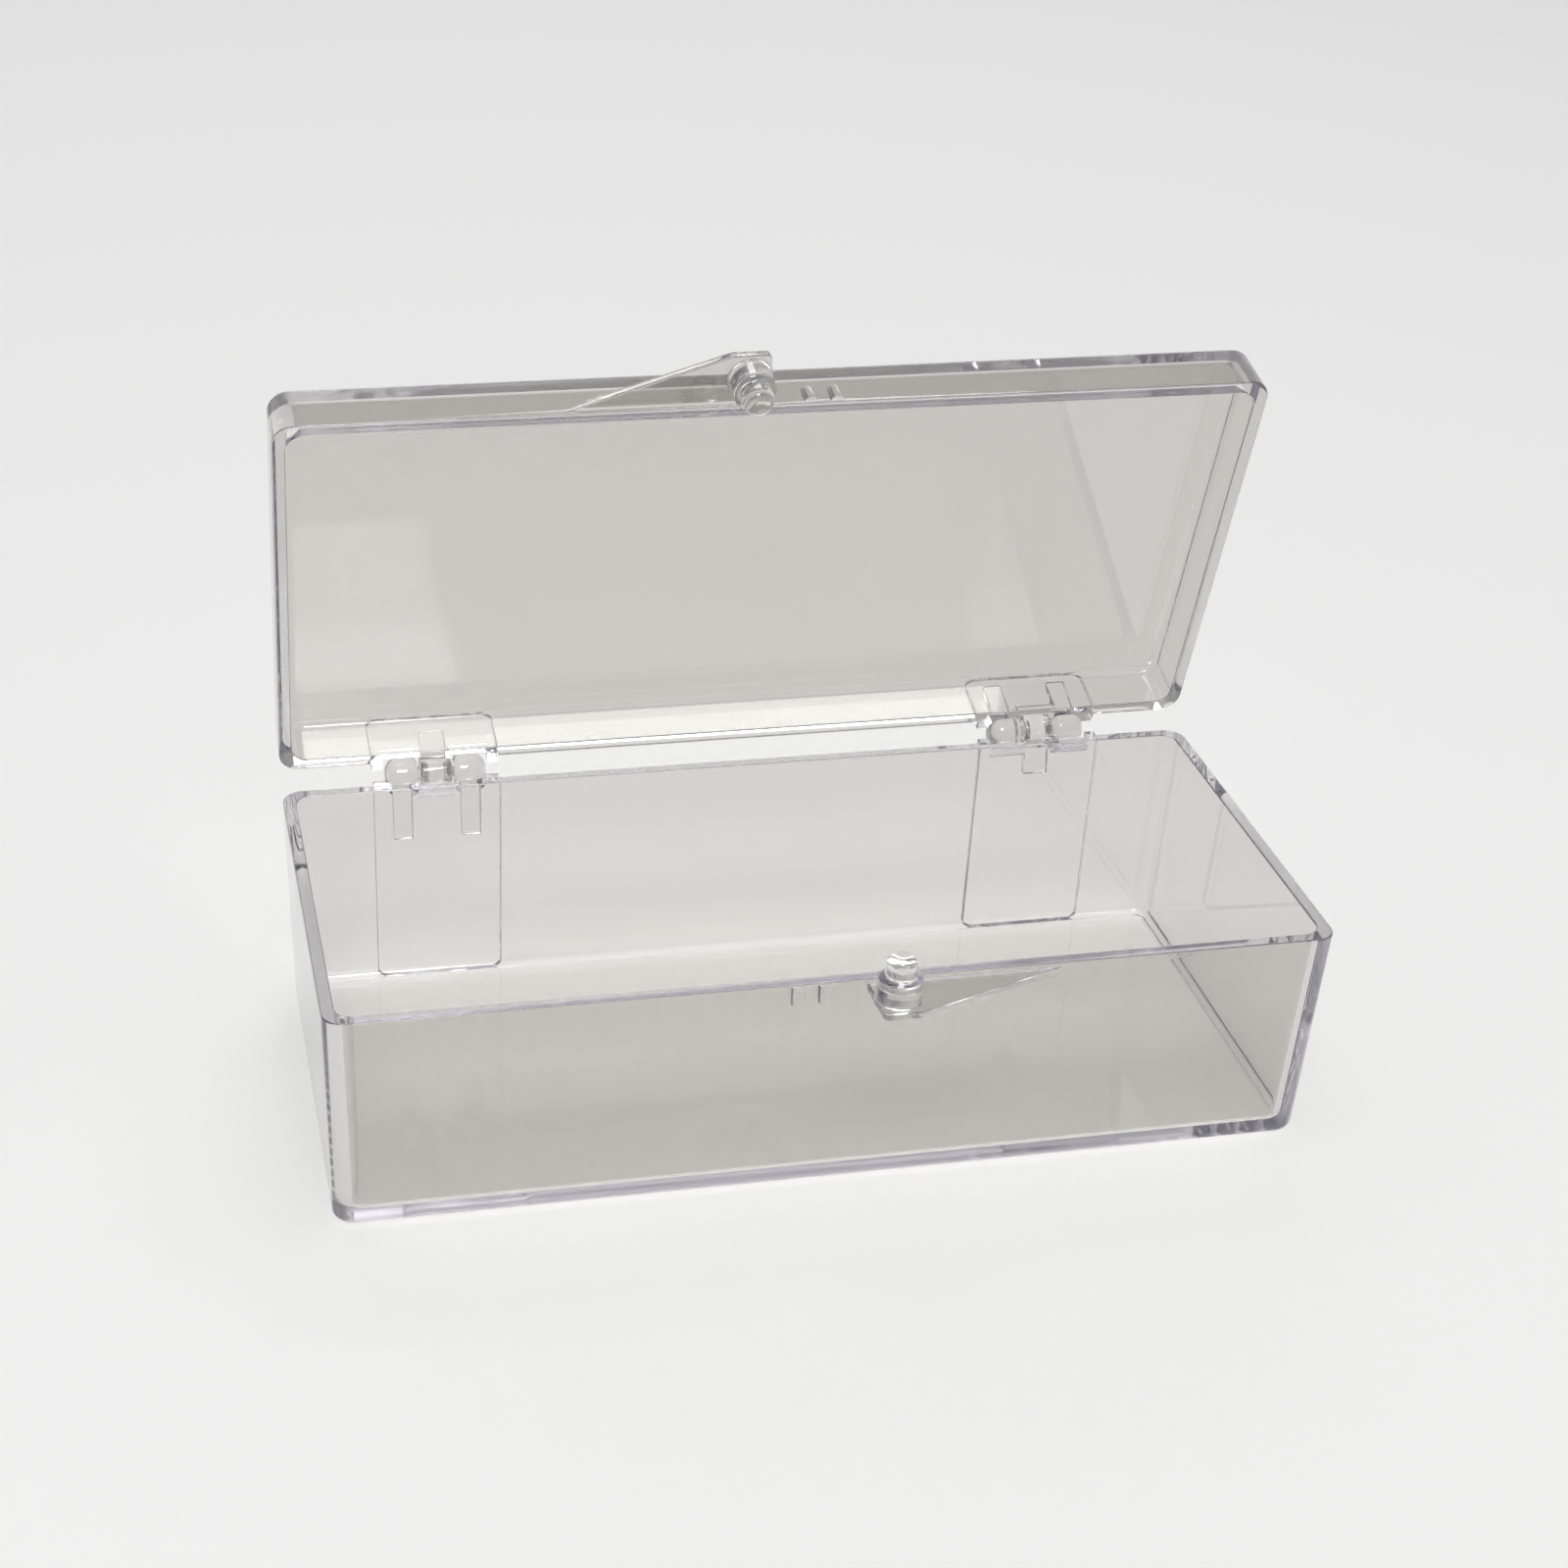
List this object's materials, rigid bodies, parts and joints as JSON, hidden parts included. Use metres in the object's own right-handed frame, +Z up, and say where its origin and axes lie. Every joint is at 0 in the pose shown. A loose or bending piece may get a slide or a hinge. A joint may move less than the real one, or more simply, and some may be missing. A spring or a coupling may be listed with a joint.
{
  "type": "pick holder box",
  "caption": "Clear rigid plastic hinged box for guitar picks: a deep rectangular tray with a shallow snap-shut lid on knuckle hinges.",
  "frame": {"origin": "centre of the base's flat underside, on the surface that the box stands on", "axes": "+X to the right along the box's length as seen from the latch side, +Y towards the hinges, +Z up"},
  "size_m": [0.105, 0.0599, 0.0777],
  "materials": {
    "base_plastic": "clear crystal polystyrene, polished, water-clear",
    "lid_plastic": "clear crystal polystyrene, polished, water-clear"
  },
  "bodies": {
    "base": {"base": "base_plastic"},
    "lid": {"lid": "lid_plastic"}
  },
  "joints": [
    {"name": "lid_hinge", "type": "hinge", "parent": "base", "child": "lid", "pos_m": [0, 0.02475, 0.02545], "axis": [-1, 0, 0], "range_deg": [-76, 100]}
  ]
}
